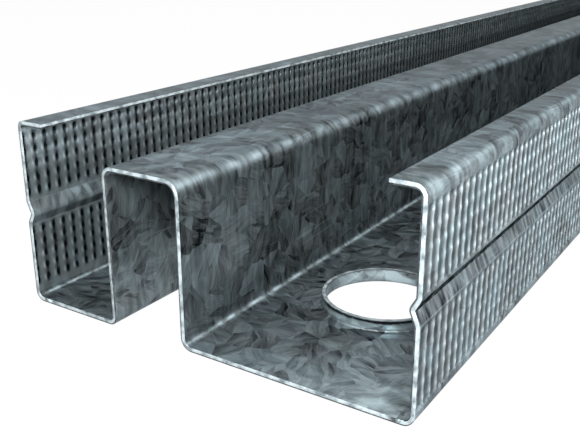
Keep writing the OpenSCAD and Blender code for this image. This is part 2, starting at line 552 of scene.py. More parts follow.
@dataclass(frozen=True)
class Knurl:
    """The pressed pattern of the flanges: ribs with a stud on every row."""

    pitch: float = 2.83 * MM
    first_rib: float = 0.285 * MM
    depth: float = 0.36 * MM
    rib_reach: float = 0.36 * MM
    row_reach: float = 0.48 * MM
    rib_share: float = 0.66
    furrow_share: float = 0.26
    row_share: float = 0.08
    fade: float = 0.6 * MM
    end_fade: float = 0.8 * MM
    # The pit and furrow gains set painted shade in the inside's pits and furrows; the spot values set a
    # painted highlight a little before each pit.
    pit_power: float = 3.0
    pit_shade_gain: float = 1.5
    highlight_before: float = 0.80 * MM
    highlight_reach: tuple[float, float] = (0.26 * MM, 0.50 * MM)
    highlight_gain: float = 1.4
    furrow_reach: float = 0.55 * MM
    furrow_shade_gain: float = 0.50
    crowding: float = 1.25

    def offsets(self, band: RowBand, y: np.ndarray, z: np.ndarray) -> tuple[np.ndarray, np.ndarray]:
        """How far places along the stud are from a rib, and heights from a row.

        Args:
            band: the rows' heights.
            y: distances from the near end.
            z: heights on the flange.

        Returns:
            Signed distances, one set for the places and one for the heights.
        """
        row = np.clip(np.round((z - band.first) / band.pitch), 0, band.rows - 1)
        off_rib = (y - self.first_rib + self.pitch / 2) % self.pitch - self.pitch / 2
        return off_rib, z - band.first - row * band.pitch

    def pattern(self, band: RowBand, y: np.ndarray, z: np.ndarray, rib_share: float) -> np.ndarray:
        """Height of the pattern, from 0 on its panels to 1 on its studs.

        With r a bell curve along the stud about each rib, and g a bell curve up
        the flange about each row, the height is a * r + b * g + (1 - a - b) * r * g.

        Args:
            band: the rows' heights.
            y: distances from the near end.
            z: heights on the flange.
            rib_share: a, the height of a rib between two studs.

        Returns:
            Heights, for every z by every y.
        """
        off_rib, off_row = self.offsets(band, y, z)
        rib = bell(off_rib / self.rib_reach)[None, :]
        up = bell(off_row / self.row_reach)[:, None]
        both = 1 - rib_share - self.row_share
        return rib_share * rib + self.row_share * up + both * rib * up

    def pressed(self, band: RowBand, y: np.ndarray, z: np.ndarray, length: float) -> np.ndarray:
        """How far the outside is pressed in: the most on the panels, none on the studs."""
        panels = 1 - self.pattern(band, y, z, self.rib_share)
        return self.depth * self.window(band, z)[:, None] * panels * self.ends(y, length)

    def dented(self, band: RowBand, y: np.ndarray, z: np.ndarray, length: float) -> np.ndarray:
        """How far the inside is dented: the most in the pits, none on the panels."""
        pits = self.pattern(band, y, z, self.furrow_share)
        return self.depth * self.window(band, z)[:, None] * pits * self.ends(y, length)

    def inside_shading(self, band: RowBand, y: np.ndarray, z: np.ndarray) -> np.ndarray:
        """Painted shading of the knurl on the flange's inside: painted shade in the pits,
        each with a painted highlight.

        The painted shade is the pattern raised to a power, which leaves the pits and
        thins the ribs, and a soft furrow along each rib. The highlight is a bell curve
        a little before each pit.

        Args:
            band: the rows' heights.
            y: distances from the near end.
            z: heights on the flange.

        Returns:
            Marks, bright above zero and dark below it, for every z by every y.
        """
        off_rib, off_row = self.offsets(band, y, z)
        # Painted highlight a little before each pit.
        spot = np.outer(
            bell(off_row / self.highlight_reach[1]), bell((off_rib + self.highlight_before) / self.highlight_reach[0]))
        # Painted shade along each rib's furrow and in the pits.
        furrow = bell(off_rib / self.furrow_reach)
        pit = self.pattern(band, y, z, self.furrow_share) ** self.pit_power
        return self.highlight_gain * spot - self.furrow_shade_gain * furrow - self.pit_shade_gain * pit

    def ends(self, y: np.ndarray, length: float) -> np.ndarray:
        """How deep the pattern goes near a cut end, where the shear has flattened it."""
        return ease(np.minimum(y, length - y) / self.end_fade)

    def window(self, band: RowBand, z: np.ndarray) -> np.ndarray:
        """How much of the pattern there is: a smooth step at the band's borders."""
        low, high = band.reach()
        return ease(np.minimum(z - low, high - z) / self.fade)

    def lines(self, first: float, last: float, steps: int) -> np.ndarray:
        """Places along the stud at which the knurl gets a line of points.

        Args:
            first: where the stretch begins.
            last: where it ends.
            steps: number of gaps from rib to rib.

        Returns:
            Sorted places, up to a rib past each limit.
        """
        low = math.floor((first - self.first_rib) / self.pitch)
        high = math.ceil((last - self.first_rib) / self.pitch)
        centres = self.first_rib + self.pitch * np.arange(low, high + 1)
        return self.around(centres, self.pitch, steps)

    def around(self, centres: np.ndarray, pitch: float, steps: int) -> np.ndarray:
        """Points round each centre, closer together where the bump is steep.

        Args:
            centres: where the bumps are.
            pitch: distance from one centre to the next.
            steps: number of gaps from one border to the next.

        Returns:
            Sorted places.
        """
        u = np.linspace(-1, 1, steps + 1)
        offsets = np.sign(u) * np.abs(u) ** self.crowding * pitch / 2
        return settled((centres[:, None] + offsets).ravel())


# --------------------------------------------------------------------------
# The sheet's pieces
# --------------------------------------------------------------------------


@dataclass(frozen=True)
class Stock:
    """The whole stud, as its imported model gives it."""

    low: np.ndarray
    high: np.ndarray
    sizes: SectionSizes = field(default_factory=SectionSizes)
    bevel: float = 0.1 * MM
    # The drawn-over width is the wide dark corner of painted shade on cut and slit edges.
    shaded_corner: float = 0.33 * MM
    sharp: float = 0.05 * MM
    bend_step: float = math.radians(9)
    guard: float = 0.25 * MM
    smooth_step: float = 20 * MM
    touch: float = 1000 * NANOMETRE

    @property
    def length(self) -> float:
        """Length of the stud."""
        return float(self.high[1] - self.low[1])

    @property
    def depth(self) -> float:
        """Depth of the stud over both flanges."""
        return float(self.high[0] - self.low[0])

    def line(self) -> MiddleLine:
        """The middle line of its sheet."""
        return MiddleLine(self.sizes.folds(self.depth), self.sizes.thickness)

    def end_lines(self, y: np.ndarray, first: float, last: float) -> np.ndarray:
        """Places along the stud between two limits, with a bevel's line at a cut end.

        Args:
            y: wished places.
            first: lower limit.
            last: upper limit.

        Returns:
            Sorted places from first to last.
        """
        ends = [first, last]
        clear = 1.5 * self.bevel
        if first <= 0:
            ends.append(self.bevel)
        if last >= self.length:
            ends.append(self.length - self.bevel)
        low = first + (clear if first <= 0 else self.touch)
        high = last - (clear if last >= self.length else self.touch)
        return np.unique(np.concatenate([ends, y[(y > low) & (y < high)]]))

    def smooth_lines(self, first: float, last: float) -> np.ndarray:
        """Places along the stud at which a smooth stretch gets a line of points."""
        return self.end_lines(np.arange(0, self.length, self.smooth_step), first, last)


@dataclass
class Block:
    """A stretch across the sheet whose points share their places along the stud.

    The press is how far its inside and its outside are moved inwards. The outside
    and inside shading are the knurl's painted highlights and painted shade on each
    face. The band and the flat say how much each line lies in a knurled band and on
    a flange's flat, and the painted sheen is painted light added to its inside.
    """

    s: np.ndarray
    y: np.ndarray
    press: tuple[np.ndarray, np.ndarray] | None = None
    outside_shading: np.ndarray | None = None
    inside_shading: np.ndarray | None = None
    band: np.ndarray | None = None
    flat: np.ndarray | None = None
    painted_sheen: np.ndarray | None = None
    inside: np.ndarray | None = None
    outside: np.ndarray | None = None


class SheetPiece:
    """A closed length of the sheet: two faces, its cut ends and its slit edges."""

    def __init__(self, stock: Stock, name: str, start_slit: bool, end_slit: bool) -> None:
        """Starts an empty piece.

        Args:
            stock: the stud.
            name: the piece's name.
            start_slit: whether its first edge is the sheet's own, and not a joint.
            end_slit: whether its last edge is the sheet's own.
        """
        self.stock = stock
        self.name = name
        self.slits = (start_slit, end_slit)
        self.middle = stock.line()
        self.shell = Shell()
        self.blocks: list[Block] = []

    def shaded_corner_width(self, s: np.ndarray, face: int) -> np.ndarray:
        """Width of the wide dark corner on one face of a cut end.

        The corner stands for the zinc that a shear draws over, and lies as painted
        shade on the side that faces away from the light: the outside of the webs, the
        arch and the left flange, and the inside of both lips and of the right flange.
        The other face keeps a corner that is nearly sharp. The two swap along a bend.

        Args:
            s: distances along the middle line.
            face: 1 for the inside and -1 for the outside.

        Returns:
            Widths.
        """
        stock = self.stock
        out = self.middle.through(s, Fold.LEFT_LIP) - self.middle.through(s, Fold.RIGHT_FOOT)
        share = out if face < 0 else 1 - out
        return stock.sharp + (stock.shaded_corner - stock.sharp) * share

    def half(self, block: Block, face: int) -> np.ndarray:
        """Half thickness at each point: less at a cut end or a slit edge.

        Args:
            block: the stretch of sheet.
            face: 1 for the inside and -1 for the outside.

        Returns:
            Distances from the middle line, for every line by every place.
        """
        stock = self.stock
        half = np.full((len(block.s), len(block.y)), stock.sizes.thickness / 2)
        at_end = (block.y <= NANOMETRE) | (block.y >= stock.length - NANOMETRE)
        half[:, at_end] -= self.shaded_corner_width(block.s, face)[:, None]
        first, last = self.blocks[0].s[0], self.blocks[-1].s[-1]
        tips = ((block.s == first) & self.slits[0]) | ((block.s == last) & self.slits[1])
        # The inside of a slit edge gets the wide dark corner of painted shade.
        corner = stock.shaded_corner if face > 0 else stock.bevel
        half[tips] = np.minimum(half[tips], stock.sizes.thickness / 2 - corner)
        return half

    def end_kind(self, s: np.ndarray, face: int) -> np.ndarray:
        """Kind of the corner's faces at a cut end: the dark corner of painted shade, or bare steel."""
        return np.where(self.shaded_corner_width(s, face) > self.stock.bevel, int(Kind.BEVEL), int(Kind.CUT))

    def place(self, block: Block, face: int) -> np.ndarray:
        """Points of one face of a block.

        A point lies at the middle line plus its normal times a distance: half a
        thickness to the face's side, and the depth that the knurl presses it in.
        Its marks are the knurl's painted shading, the painted light of the bends, the
        draw, and the band: above zero on the outside's knurl and below zero on the
        flats inside, where the finish adds painted light.

        Args:
            block: the stretch of sheet.
            face: 1 for the inside and -1 for the outside.

        Returns:
            Point numbers by rows across the sheet and columns along the stud.
        """
        line, normal = self.middle.at(block.s)
        out = face * self.half(block, face)
        if block.press is not None:
            out = out + block.press[0 if face > 0 else 1]
        section = line[:, None, :] + normal[:, None, :] * out[:, :, None]
        y = np.broadcast_to(block.y + self.stock.low[1], out.shape)
        points = np.stack([section[..., 0], y, section[..., 1]], axis=-1)
        uvs = np.stack(np.broadcast_arrays(block.s[:, None], block.y[None, :]), axis=-1)
        marks = np.zeros((*out.shape, 4))
        rub_and_painted_light, draw = self.middle.worked_and_shaded(block.s, face)
        marks[..., 1], marks[..., 2] = rub_and_painted_light[:, None], draw[:, None]
        # Painted light at the wide web's ends.
        if face > 0 and block.painted_sheen is not None:
            marks[..., 1] += block.painted_sheen
        if face > 0 and block.flat is not None:
            marks[..., 3] = -block.flat[:, None]
        # The knurl's marks are painted shading: highlight and shade inside, a highlight on the outside's
        # ribs.
        if block.band is not None:
            marks[..., 0] = block.inside_shading if face > 0 else block.outside_shading
            if face < 0:
                marks[..., 3] = block.band[:, None]
        return self.shell.add_points(points, uvs, marks)

    def kinds(self, block: Block, face: int, first: bool, last: bool) -> np.ndarray:
        """Kind of every cell of a block: corners lie along cut ends and slit edges.

        Args:
            block: the stretch of sheet.
            face: 1 for the inside and -1 for the outside.
            first: whether the block is the piece's first.
            last: whether it is the piece's last.

        Returns:
            Kinds, for every gap between lines by every gap between places.
        """
        stock = self.stock
        plain = Kind.INSIDE if face > 0 else Kind.OUTSIDE
        kinds = np.full((len(block.s) - 1, len(block.y) - 1), int(plain))
        s, y = between(block.s), between(block.y)
        corner = (y < stock.bevel) | (y > stock.length - stock.bevel)
        # The right groove's upper slope on the outside gets painted shade.
        if face < 0:
            kinds[self.middle.in_groove_shade(s)] = Kind.GROOVE_SHADE
        kinds[:, corner] = self.end_kind(s, face)[:, None]
        # Slit edges get the dark corner of painted shade on both faces.
        if first and self.slits[0]:
            kinds[0] = Kind.BEVEL
        if last and self.slits[1]:
            kinds[-1] = Kind.BEVEL
        return kinds

    def skin(self) -> None:
        """Adds both faces of every block, and zips neighbouring blocks together."""
        for number, block in enumerate(self.blocks):
            self.cells(block, number == 0, number == len(self.blocks) - 1)
        for low, high in zip(self.blocks[:-1], self.blocks[1:]):
            self.zip_blocks(low, high)

    def cells(self, block: Block, first: bool = False, last: bool = False,
              keep: np.ndarray | None = None) -> None:
        """Adds one block's two faces.

        Args:
            block: the stretch of sheet, which is given its points' numbers.
            first: whether the block is the piece's first.
            last: whether it is the piece's last.
            keep: which cells to add, or all of them.
        """
        for name, face in (("inside", 1), ("outside", -1)):
            grid = self.place(block, face)
            setattr(block, name, grid)
            cells, kinds = quads(grid), self.kinds(block, face, first, last)
            chosen = np.ones(kinds.shape, bool) if keep is None else keep
            self.shell.add_faces(cells[chosen], kinds[chosen], flip=face < 0)

    def zip_blocks(self, low: Block, high: Block) -> None:
        """Joins two neighbouring blocks, with one plain cell in each end's bevel.

        Args:
            low: the block that comes first across the sheet.
            high: the block that comes next.
        """
        near, far = int(low.y[0] <= 0), int(low.y[-1] >= self.stock.length)
        sides = (
            (low.inside[-1], high.inside[0], Kind.INSIDE, 1),
            (low.outside[-1], high.outside[0], Kind.OUTSIDE, -1))
        for one, two, kind, face in sides:
            flip = face < 0
            core, other = slice(near, len(one) - far), slice(near, len(two) - far)
            self.shell.add_faces(zip_lines(one[core], low.y[core], two[other], high.y[other]), kind, flip)
            corner = self.end_kind(low.s[-1:], face)
            if near:
                self.shell.add_faces(quads(np.stack([one[:2], two[:2]])), corner, flip)
            if far:
                self.shell.add_faces(quads(np.stack([one[-2:], two[-2:]])), corner, flip)

    def ends(self) -> None:
        """Closes the two ends along the stud and the two edges across it."""
        for column in (0, -1):
            inside = np.concatenate([block.inside[:, column] for block in self.blocks])
            outside = np.concatenate([block.outside[:, column] for block in self.blocks])
            self.shell.add_faces(quads(np.stack([inside, outside], axis=1)), Kind.CUT, flip=column == 0)
        for row in (0, -1):
            block = self.blocks[row]
            strip = np.stack([block.inside[row], block.outside[row]])
            self.shell.add_faces(quads(strip), Kind.CUT, flip=row == -1)

    def finish(self) -> bpy.types.Object:
        """Makes the piece's object, on its CAD body, its faces numbered for their finishes.

        Returns:
            The new object.
        """
        mesh = self.shell.mesh(self.name)
        piece = bpy.data.objects.new(self.name, mesh)
        bpy.context.scene.collection.objects.link(piece)
        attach(piece, BODY)
        triangles = sum(len(p.vertices) - 2 for p in mesh.polygons)
        log.info("%s: %d triangles", self.name, triangles)
        return piece


@dataclass
class Flange:
    """A flange with its lip, groove and foot, over one length of the stud."""

    stock: Stock
    side: Side
    name: str
    first: float
    last: float
    steps: int
    knurl: Knurl = field(default_factory=Knurl)
    joint: float = 1.0 * MM
    gap: float = 0.3 * MM
    flat_fade: float = 0.5 * MM

    def bands(self) -> tuple[RowBand, RowBand]:
        """The two bands of knurl rows.

        Returns:
            The bands in their order along the middle line.
        """
        if self.side is Side.LEFT:
            return RowBand(25.25 * MM, 2.96 * MM), RowBand(4.45 * MM, 2.87 * MM)
        return RowBand(4.55 * MM, 3.09 * MM), RowBand(25.7 * MM, 3.14 * MM)

    def span(self, middle: MiddleLine) -> tuple[float, float]:
        """Where the flange begins and ends along the middle line.

        Args:
            middle: the sheet's middle line.

        Returns:
            Both distances from the left lip's tip.
        """
        if self.side is Side.LEFT:
            return 0.0, middle.after(Fold.LEFT_FOOT) + self.joint
        return middle.before(Fold.RIGHT_FOOT) - self.joint, float(middle.start[-1])

    def across(self, middle: MiddleLine, band: RowBand) -> tuple[np.ndarray, np.ndarray]:
        """Lines of a band across the sheet.

        Args:
            middle: the sheet's middle line.
            band: the band of rows.

        Returns:
            Distances along the middle line, rising, and the heights they lie at.
        """
        z = self.knurl.around(band.heights(), band.pitch, self.steps)
        if self.side is Side.LEFT:
            top = middle.after(Fold.LEFT_LIP)
            s = top + middle.spot(top)[1] - z
            return s[::-1], z[::-1]
        foot = middle.after(Fold.RIGHT_FOOT)
        return foot + z - middle.spot(foot)[1], z

    def build(self) -> bpy.types.Object:
        """Builds the flange.

        Returns:
            The flange's object.
        """
        stock = self.stock
        piece = SheetPiece(stock, self.name, self.side is Side.LEFT, self.side is Side.RIGHT)
        middle = piece.middle
        dense = self.knurl.lines(self.first, self.last, self.steps)
        dense_y = stock.end_lines(dense, self.first, self.last)
        smooth_y = stock.smooth_lines(self.first, self.last)
        at, end = self.span(middle)
        tip = piece.slits[0]
        for band in self.bands():
            s, z = self.across(middle, band)
            smooth = self.smooth(middle, at, s[0] - self.gap, tip_low=tip)
            piece.blocks.append(Block(smooth, smooth_y, flat=self.flats(middle, smooth)))
            piece.blocks.append(self.knurled(middle, band, s, z, dense_y))
            at, tip = s[-1] + self.gap, False
        smooth = self.smooth(middle, at, end, tip_high=piece.slits[1])
        piece.blocks.append(Block(smooth, smooth_y, flat=self.flats(middle, smooth)))
        piece.skin()
        piece.ends()
        return piece.finish()

    def knurled(self, middle: MiddleLine, band: RowBand, s: np.ndarray, z: np.ndarray,
                y: np.ndarray) -> Block:
        """A band of knurl: pressed from the outside and dented from the inside.

        Args:
            middle: the sheet's middle line.
            band: the band of rows.
            s: distances of its lines along the middle line.
            z: the heights that they lie at.
            y: places along the stud.

        Returns:
            The band's block.
        """
        knurl, length = self.knurl, self.stock.length
        window = knurl.window(band, z)
        press = (-knurl.dented(band, y, z, length), knurl.pressed(band, y, z, length))
        # Painted highlight on the outside's ribs and studs.
        outside_shading = window[:, None] * knurl.pattern(band, y, z, knurl.rib_share)
        # Painted shading on the inside: shade in the pits and furrows, a highlight before each pit.
        inside_shading = window[:, None] * knurl.inside_shading(band, y, z)
        return Block(s, y, press, outside_shading, inside_shading, window, self.flats(middle, s))

    def flats(self, middle: MiddleLine, s: np.ndarray) -> np.ndarray:
        """How much each line lies on one of the flange's two flats.

        Args:
            middle: the sheet's middle line.
            s: distances along it.

        Returns:
            Shares: 1 on a flat, and down to 0 a little way into the bends beside it.
        """
        if self.side is Side.LEFT:
            ends = (Fold.LEFT_LIP, Fold.LEFT_UPPER_KNEE, Fold.LEFT_LOWER_KNEE, Fold.LEFT_FOOT)
        else:
            ends = (Fold.RIGHT_FOOT, Fold.RIGHT_LOWER_KNEE, Fold.RIGHT_UPPER_KNEE, Fold.RIGHT_LIP)
        share = np.zeros(len(s))
        for low, high in (ends[:2], ends[2:]):
            inside = np.minimum(s - middle.after(low), middle.before(high) - s)
            share = np.maximum(share, np.clip(1 + inside / self.flat_fade, 0, 1))
        return share

    def smooth(self, middle: MiddleLine, low: float, high: float,
               tip_low: bool = False, tip_high: bool = False) -> np.ndarray:
        """Lines across a smooth stretch.

        Args:
            middle: the sheet's middle line.
            low: where the stretch begins.
            high: where it ends.
            tip_low: whether it begins at a slit edge, which adds a bevel's line.
            tip_high: whether it ends at one.

        Returns:
            Sorted distances along the middle line.
        """
        s = middle.stations(low, high, self.stock.bend_step, self.stock.guard)
        extra = [low + self.stock.bevel] * tip_low + [high - self.stock.bevel] * tip_high
        return np.unique(np.concatenate([s, extra]))


@dataclass(frozen=True)
class Collar:
    """The turned-up rim of a service hole."""

    bore: float = 12.7 * MM
    height: float = 3.5 * MM
    bend: float = 0.4 * MM
    first: float = 38.7 * MM
    pitch: float = 600 * MM
    patch: float = 18 * MM
    side_steps: int = 28
    bevel: float = 0.12 * MM
    wall_steps: tuple[float, ...] = (0.25, 0.45, 0.62, 0.8)
    patch_shares: tuple[float, ...] = (1.0, 0.66, 0.33, 0.1, 0.0)
    least_draw: float = 0.2
    # Painted light on the collar and the web round it: shade at the foot and under the rim, highlights on
    # the outer wall, the bore and the throat.
    web_shading: tuple[float, ...] = (0.0, 0.0, 0.0, -0.2, -0.4)
    foot_shading: tuple[float, ...] = (-0.5, -0.5, -0.4, -0.2, 0.2)
    wall_shading: tuple[float, ...] = (1.3, 1.3, 0.5, -1.4)
    rim_shading: tuple[float, ...] = (-1.8, 0.0, 0.0, 0.8)
    bore_highlight: tuple[float, ...] = (2.0, 2.272, 2.0, 1.68)
    throat_highlight: tuple[float, ...] = (1.4, 1.1, 0.8, 0.5, 0.2)
    # The painted light is weaker towards the collar's left side.
    lit_sides: tuple[float, ...] = (-1.0, -0.75, -0.2)
    lit_gains: tuple[float, ...] = (0.1, 0.45, 1.0)

    def profile(self, thickness: float) -> tuple[np.ndarray, np.ndarray, np.ndarray]:
        """The collar's outline, from the web's upper face over the rim and down.

        Painted shade makes the collar's foot and the wall under its rim darker and
        duller, and a painted highlight lightens the outer wall between them and the
        whole of the bore.

        Args:
            thickness: the sheet's thickness.

        Returns:
            Rows of distance from the hole's axis and height, each gap's kind, and
            each row's painted light.
        """
        quarter = np.linspace(0, np.pi / 2, 5)
        wide = self.bend + thickness
        outer, b, top = self.bore + thickness, self.bevel, self.height
        foot = self.bore + wide
        up = np.stack([foot - self.bend * np.sin(quarter), wide - self.bend * np.cos(quarter)], axis=1)
        share = np.array(self.wall_steps)
        wall = np.stack([np.full(len(share), outer), wide + share * (top - b - wide)], axis=1)
        rim = np.array([
            (outer, top - b), (outer - b, top), (self.bore + b, top), (self.bore, top - b)])
        inner = np.stack([np.full(len(share), self.bore), wall[::-1, 1]], axis=1)
        down = np.stack([foot - wide * np.cos(quarter), wide - wide * np.sin(quarter)], axis=1)
        rows = np.concatenate([up, wall, rim, inner, down])
        kinds = np.array(
            [Kind.INSIDE] * (len(up) + len(wall)) + [Kind.BEVEL, Kind.CUT, Kind.BEVEL]
            + [Kind.OUTSIDE] * (len(inner) + len(down)))
        rub_and_painted_light = np.concatenate([
            self.foot_shading, self.wall_shading, self.rim_shading, self.bore_highlight, self.throat_highlight])
        return rows, kinds, rub_and_painted_light


class Web:
    """Both webs, the arch between them and the collared service holes."""

    # Painted light at both ends of the wide web.
    end_light: float = 0.95
    clearance: float = 2 * MM

    def __init__(self, stock: Stock, collar: Collar) -> None:
        """Keeps the sizes.

        Args:
            stock: the stud.
            collar: the holes' collar.
        """
        self.stock = stock
        self.collar = collar
        self.piece = SheetPiece(stock, "web_and_arch", False, False)
        self.middle = self.piece.middle

    def hole_places(self) -> np.ndarray:
        """Where the holes lie along the stud.

        Returns:
            Their distances from the near end.
        """
        collar = self.collar
        count = 1 + int((self.stock.length - 2 * collar.first) // collar.pitch)
        return collar.first + collar.pitch * np.arange(count)

    def off_holes(self, y: np.ndarray) -> np.ndarray:
        """Distance of each place along the stud from the nearest hole's centre."""
        return np.abs(y[:, None] - self.hole_places()).min(1)

    def hole_s(self) -> float:
        """Where the holes lie across the sheet: in the middle of the wide web.

        Returns:
            Their distance along the middle line.
        """
        sizes, line = self.stock.sizes, self.middle
        web_mid = (sizes.arch_x + sizes.arch_width - sizes.thickness + self.stock.depth) / 2
        foot = line.after(Fold.ARCH_RIGHT_FOOT)
        return foot + (web_mid - self.stock.depth / 2) - line.spot(foot)[0]

    def side_places(self) -> np.ndarray:
        """Places along a patch's side, spaced at equal angles round the hole."""
        angles = np.linspace(-np.pi / 4, np.pi / 4, self.collar.side_steps + 1)
        return self.collar.patch * np.tan(angles)

    def build(self, joint: float) -> bpy.types.Object:
        """Builds the webs and the arch.

        Args:
            joint: distance of the joint with each flange from that flange's bend.

        Returns:
            The piece's object.
        """
        stock, line = self.stock, self.middle
        begin = line.after(Fold.LEFT_FOOT) + joint
        end = line.before(Fold.RIGHT_FOOT) - joint
        s = line.stations(begin, end, stock.bend_step, stock.guard)
        side = self.side_places()
        s = settled(s, self.hole_s() + side)
        holes = (self.hole_places()[:, None] + side).ravel()
        plain = np.arange(0, stock.length, stock.smooth_step)
        clear = self.off_holes(plain) >= self.collar.patch + self.clearance
        y = stock.end_lines(settled(plain[clear], holes), 0, stock.length)
        # Painted light at both ends of the wide web.
        block = Block(s, y, painted_sheen=self.painted_end_light(s, y))
        self.piece.blocks = [block]
        self.piece.cells(block, keep=self.outside_patches(block))
        for place in self.hole_places():
            self.add_hole(float(place))
        self.piece.ends()
        return self.piece.finish()

    def painted_end_light(self, s: np.ndarray, y: np.ndarray) -> np.ndarray:
        """Painted light at both ends of the wide web, most by its flange.

        Args:
            s: distances along the middle line.
            y: distances from the near end.

        Returns:
            The rub that it adds, for every s by every y.
        """
        web = self.middle.after(Fold.ARCH_RIGHT_FOOT), self.middle.before(Fold.RIGHT_FOOT)
        across = np.interp(s, web, (0, 1))
        reach = self.collar.first - self.collar.patch
        along = np.clip(1 - np.minimum(y, self.stock.length - y) / reach, 0, 1)
        return self.end_light * np.outer(across, along)

    def outside_patches(self, block: Block) -> np.ndarray:
        """Which cells of the web lie clear of the holes' square patches.

        Args:
            block: the web's stretch of sheet.

        Returns:
            True or false, for every gap between lines by every gap between places.
        """
        in_s = np.abs(between(block.s) - self.hole_s()) < self.collar.patch
        in_y = self.off_holes(between(block.y)) < self.collar.patch
        return ~np.outer(in_s, in_y)

    def add_hole(self, place: float) -> None:
        """Adds one hole: a square patch of each face, and the collar between them.

        Round the hole every ray runs from the collar's foot to the patch's side.
        The collar is its outline turned about the hole's axis. On the flat sheet
        the collar's steel lies towards the hole's centre, by the length that its
        outline has there.

        Args:
            place: the hole's distance from the near end.
        """
        collar, shell = self.collar, self.piece.shell
        thickness = self.stock.sizes.thickness
        side = self.side_places()[:-1]
        full = np.full_like(side, collar.patch)
        square = np.concatenate([
            np.stack([full, side], 1), np.stack([-side, full], 1),
            np.stack([-full, -side], 1), np.stack([side, -full], 1)])
        square = np.concatenate([square, square[:1]])
        ray = square / np.linalg.norm(square, axis=1, keepdims=True)
        rows, kinds, rim_shading = collar.profile(thickness)
        foot = rows[0, 0]
        share = np.array(collar.patch_shares)[:, None, None]
        patch = share * square + (1 - share) * ray * foot
        along = np.concatenate([[0], np.cumsum(np.linalg.norm(np.diff(rows, axis=0), axis=1))])
        turned = ray[None] * rows[:, 0, None, None]
        spread = ray[None] * np.maximum(foot - along, collar.least_draw * foot)[:, None, None]
        level = np.ones(len(patch))
        web_shading = np.array(collar.web_shading)
        parts = (
            (patch, level * thickness, patch, Kind.INSIDE, web_shading),
            (turned, rows[:, 1], spread, kinds, rim_shading),
            (patch[::-1], level * 0, patch[::-1], Kind.OUTSIDE, web_shading[::-1]),
        )
        s = self.hole_s()
        x = self.middle.spot(s)[0]
        # Painted light: weaker on the collar's left side.
        side_gain = np.interp(ray[:, 0], collar.lit_sides, collar.lit_gains)
        for flat, z, sheet, kind, rub_and_painted_light in parts:
            marks = np.zeros((*flat.shape[:2], 4))
            marks[..., 1] = rub_and_painted_light[:, None] * side_gain
            marks[..., 2] = self.middle.rolling_and_shading.run_draw[Fold.ARCH_RIGHT_FOOT]
            points = np.stack(np.broadcast_arrays(
                x + flat[..., 0], place + flat[..., 1] + self.stock.low[1], z[:, None]), axis=-1)
            cells = quads(shell.add_points(points, sheet + np.array([s, place]), marks))
            every = np.broadcast_to(kind, len(flat) - 1)
            shell.add_faces(cells, np.repeat(every, cells.shape[1]), flip=True)


# --------------------------------------------------------------------------
# Finishes
# --------------------------------------------------------------------------


Colour = tuple[float, float, float]
Source = bpy.types.NodeSocket | float | tuple[float, ...]


class Wiring:
    """Adds nodes to a tree and joins them, one short call for each node."""

    def __init__(self, tree: bpy.types.NodeTree) -> None:
        """Keeps the tree."""
        self.tree = tree

    def node(self, kind: str, inputs: dict[int | str, Source] | None = None,
             **settings: object) -> bpy.types.Node:
        """Adds a node.

        Args:
            kind: the node's type, without its prefix.
            inputs: what goes into each of its inputs: another node's output or a value.
            settings: the node's own settings.

        Returns:
            The new node.
        """
        node = self.tree.nodes.new("ShaderNode" + kind)
        for key, value in settings.items():
            setattr(node, key, value)
        self.fill(node, inputs or {})
        return node

    def fill(self, node: bpy.types.Node, inputs: dict[int | str, Source]) -> None:
        """Joins other nodes' outputs to a node's inputs, or sets their values.

        Args:
            node: the node.
            inputs: another node's output or a value, for each input's name or number.
        """
        for key, value in inputs.items():
            if isinstance(value, bpy.types.NodeSocket):
                self.tree.links.new(value, node.inputs[key])
            else:
                node.inputs[key].default_value = value

    def math(self, operation: str, *values: Source) -> bpy.types.NodeSocket:
        """The result of a sum on numbers."""
        return self.node("Math", dict(enumerate(values)), operation=operation).outputs[0]

    def vector(self, operation: str, *values: Source) -> bpy.types.NodeSocket:
        """The result of a sum on vectors."""
        node = self.node("VectorMath", dict(enumerate(values)), operation=operation)
        return node.outputs["Value" if operation == "DOT_PRODUCT" else "Vector"]

    def spread(self, value: Source, low: float, high: float, to_low: float = 0.0,
               to_high: float = 1.0) -> bpy.types.NodeSocket:
        """A value moved from one range to another and kept inside it."""
        return self.node("MapRange", {0: value, 1: low, 2: high, 3: to_low, 4: to_high}).outputs[0]

    def stretch(self, place: Source, scale: tuple[float, float, float]) -> bpy.types.NodeSocket:
        """A place multiplied by its own factor along each axis."""
        return self.node("Mapping", {"Vector": place, "Scale": scale}).outputs[0]

    def turn(self, place: Source, angle: Source) -> bpy.types.NodeSocket:
        """A place turned about the third axis."""
        turned = self.node("VectorRotate", {"Vector": place, "Angle": angle}, rotation_type="Z_AXIS")
        return turned.outputs[0]

    def noise(self, place: Source, scale: float, detail: float,
              output: str = "Fac") -> bpy.types.NodeSocket:
        """Noise at a scale, in ripples for each unit of the place."""
        return self.node("TexNoise", {"Vector": place, "Scale": scale, "Detail": detail}).outputs[output]

    def mix(self, share: Source, low: Source, high: Source, **settings: object) -> bpy.types.NodeSocket:
        """A share of one colour over another."""
        return self.node("Mix", {0: share, 6: low, 7: high}, data_type="RGBA", **settings).outputs[2]

    def weigh(self, *parts: tuple[Source, float]) -> bpy.types.NodeSocket:
        """The sum of patterns about their middle, each with its own weight.

        Args:
            parts: each pattern, from 0 to 1, and its weight.

        Returns:
            The sum: zero where every pattern is at its middle.
        """
        total: Source = -0.5 * sum(weight for _, weight in parts)
        for value, weight in parts:
            total = self.math("MULTIPLY_ADD", value, weight, total)
        return total


def opaque(colour: Colour) -> tuple[float, ...]:
    """A colour that lets nothing through."""
    return (*colour, 1.0)


